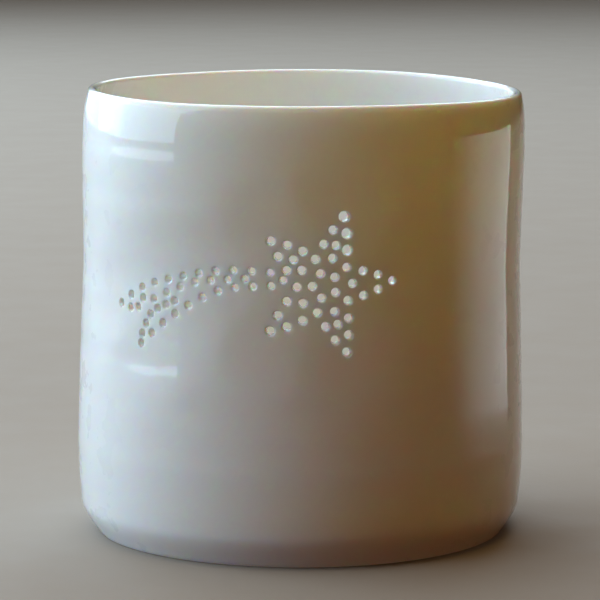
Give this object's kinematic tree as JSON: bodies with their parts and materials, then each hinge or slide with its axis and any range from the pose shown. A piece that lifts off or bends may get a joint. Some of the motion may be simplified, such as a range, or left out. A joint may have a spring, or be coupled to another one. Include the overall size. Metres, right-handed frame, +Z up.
{
  "type": "tealight holder",
  "caption": "Thin white porcelain cylinder, open at the top, its wall pierced with a star and comet tail of small round holes, with a tealight standing inside.",
  "frame": {"origin": "middle of the flat base, on the surface that the holder stands on", "axes": "+Z up along the axis of the vessel, -Y towards the front, which carries the pierced star, +X to the right"},
  "size_m": [0.0809, 0.0808, 0.0802],
  "materials": {
    "glazed_porcelain": "gloss",
    "aluminium_foil": "satin",
    "wax": "satin",
    "cotton": "matte",
    "tinplate": "satin"
  },
  "bodies": {
    "holder": {"porcelain_holder": "glazed_porcelain"},
    "tealight_tin": {"tealight_cup": "aluminium_foil"},
    "candle": {"candle_wax": "wax", "wick": "cotton", "wick_sustainer": "tinplate"}
  },
  "joints": [
    {"name": "tealight_lift", "type": "slide", "parent": "holder", "child": "tealight_tin", "axis": [0, 0, 1], "range_m": [0, 0.085]},
    {"name": "candle_lift", "type": "slide", "parent": "tealight_tin", "child": "candle", "axis": [0, 0, 1], "range_m": [0, 0.018]}
  ]
}
